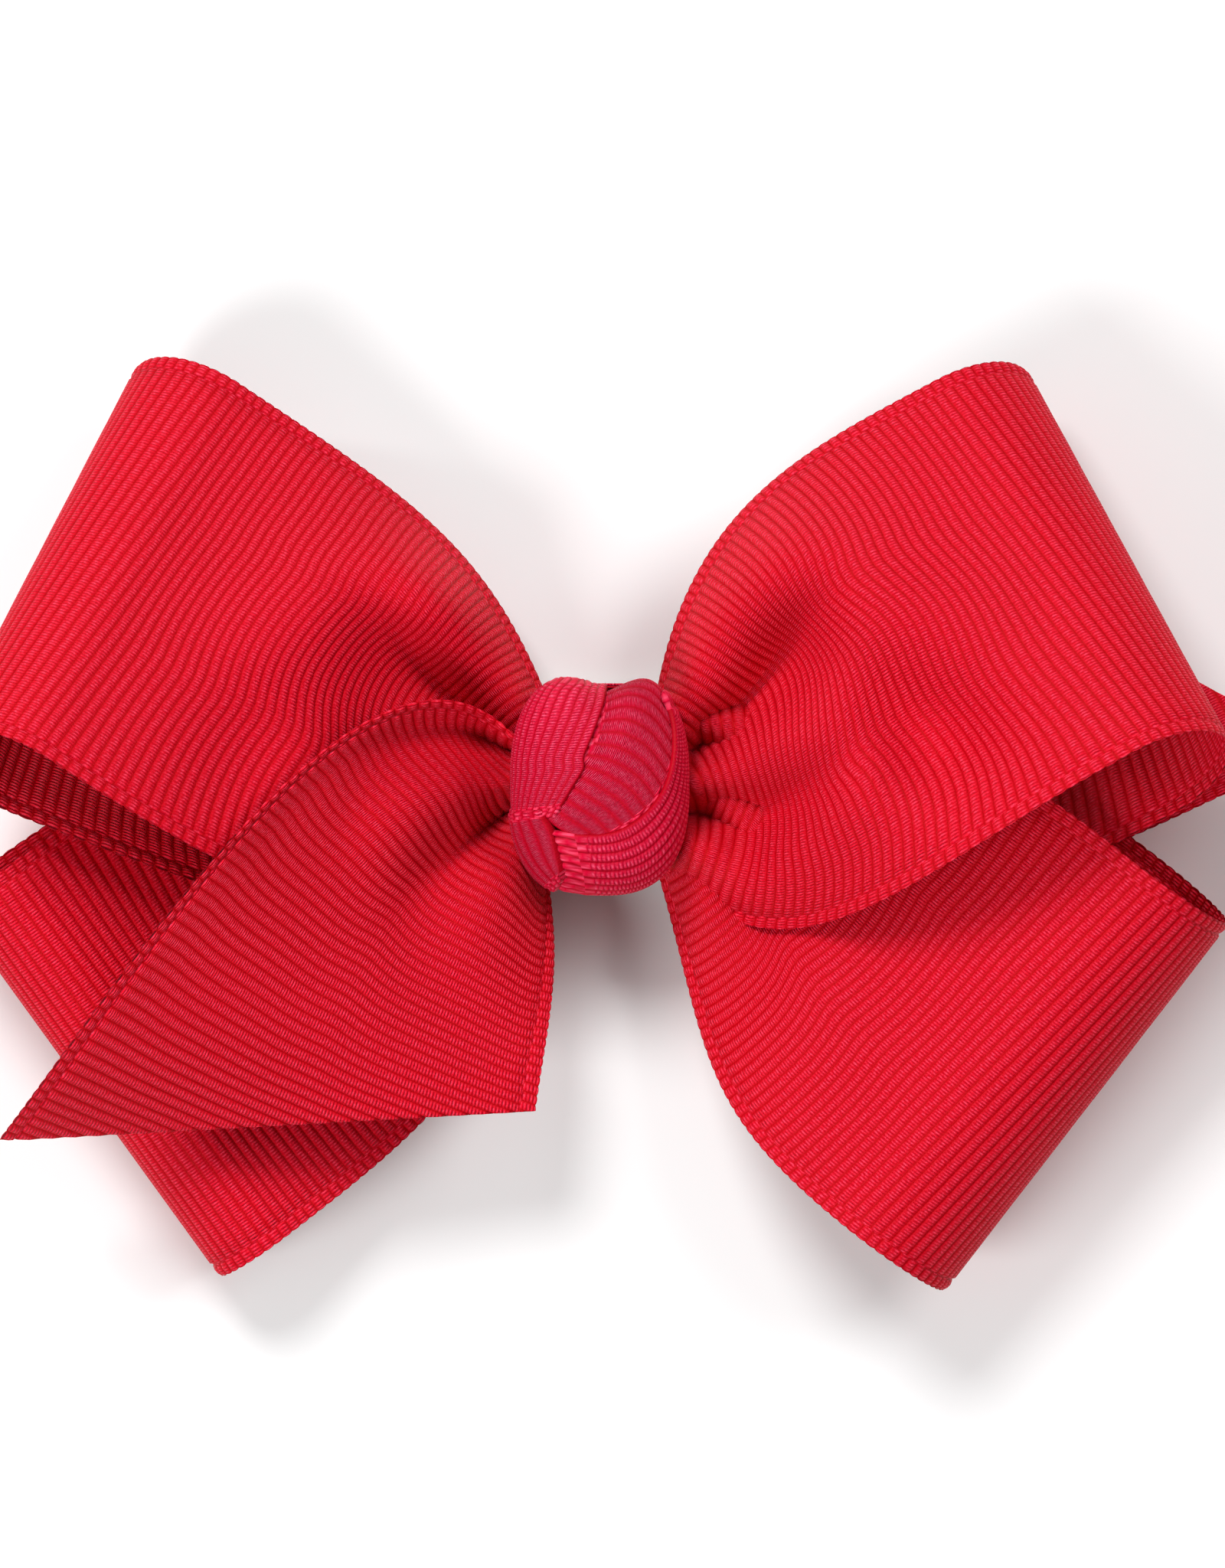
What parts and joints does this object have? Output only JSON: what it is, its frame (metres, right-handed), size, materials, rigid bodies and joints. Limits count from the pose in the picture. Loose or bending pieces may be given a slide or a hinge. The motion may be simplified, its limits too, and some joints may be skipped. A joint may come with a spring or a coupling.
{
  "type": "pre-made gift bow",
  "caption": "Ready-tied ribbon bow with loops and slant-cut tails round a knotted centre, on a self-adhesive pad.",
  "frame": {"origin": "centre of the pad's back face, which is stuck to a parcel (the release liner's outer face as stored)", "axes": "+Z out of the front of the bow, +Y to its top, +X to its right as seen from the front"},
  "size_m": [0.1686, 0.1147, 0.0457],
  "materials": {
    "ribbon": "ribbed grosgrain, soft sheen",
    "knot_ribbon": "finer ribbed grosgrain, a little pinker",
    "thread": "twisted polyester",
    "hot_melt_glue": "translucent, waxy",
    "card": "uncoated board",
    "foam": "fine closed cells",
    "liner": "glazed, slightly glossy"
  },
  "bodies": {
    "waist": {"waist_ply_1": "ribbon", "waist_ply_2": "ribbon", "waist_ply_3": "ribbon", "waist_ply_4": "ribbon", "waist_ply_5": "ribbon", "gather_thread": "thread", "centre_knot": "knot_ribbon", "wrap_leg_upper": "knot_ribbon", "wrap_leg_lower": "knot_ribbon", "glue_dot": "hot_melt_glue", "backing_card": "card", "adhesive_foam": "foam"},
    "upper_left_loop": {"upper_left_loop": "ribbon"},
    "upper_right_loop": {"upper_right_loop": "ribbon"},
    "lower_left_loop": {"lower_left_loop": "ribbon"},
    "lower_right_loop": {"lower_right_loop": "ribbon"},
    "front_tail": {"front_tail": "ribbon"},
    "back_tail": {"back_tail": "ribbon"},
    "release_liner": {"release_liner": "liner"}
  },
  "joints": [
    {"name": "upper_left_loop_swing", "type": "hinge", "parent": "waist", "child": "upper_left_loop", "pos_m": [0, 0, 0.00979], "axis": [0.1983, 0.3909, 0.8988], "range_deg": [-4, 2], "stiffness_Nm_per_rad": 0.02},
    {"name": "upper_right_loop_swing", "type": "hinge", "parent": "waist", "child": "upper_right_loop", "pos_m": [0, 0, 0.00979], "axis": [-0.2072, 0.3863, 0.8988], "range_deg": [-3, 4], "stiffness_Nm_per_rad": 0.02},
    {"name": "lower_left_loop_swing", "type": "hinge", "parent": "waist", "child": "lower_left_loop", "pos_m": [0, 0, 0.00979], "axis": [0.0611, -0.0848, 0.9945], "range_deg": [-4, 4], "stiffness_Nm_per_rad": 0.02},
    {"name": "lower_right_loop_swing", "type": "hinge", "parent": "waist", "child": "lower_right_loop", "pos_m": [0, 0, 0.00979], "axis": [-0.0638, -0.0828, 0.9945], "range_deg": [-4, 4], "stiffness_Nm_per_rad": 0.02},
    {"name": "front_tail_swing", "type": "hinge", "parent": "waist", "child": "front_tail", "pos_m": [0, 0, 0.00979], "axis": [0, 0, 1], "range_deg": [-2, 4], "stiffness_Nm_per_rad": 0.02},
    {"name": "back_tail_swing", "type": "hinge", "parent": "waist", "child": "back_tail", "pos_m": [0, 0, 0.00979], "axis": [-0.2072, 0.3863, 0.8988], "range_deg": [-4, 4], "stiffness_Nm_per_rad": 0.02},
    {"name": "liner_peel", "type": "slide", "parent": "waist", "child": "release_liner", "axis": [0, 0, -1], "range_m": [0, 0.02]}
  ]
}
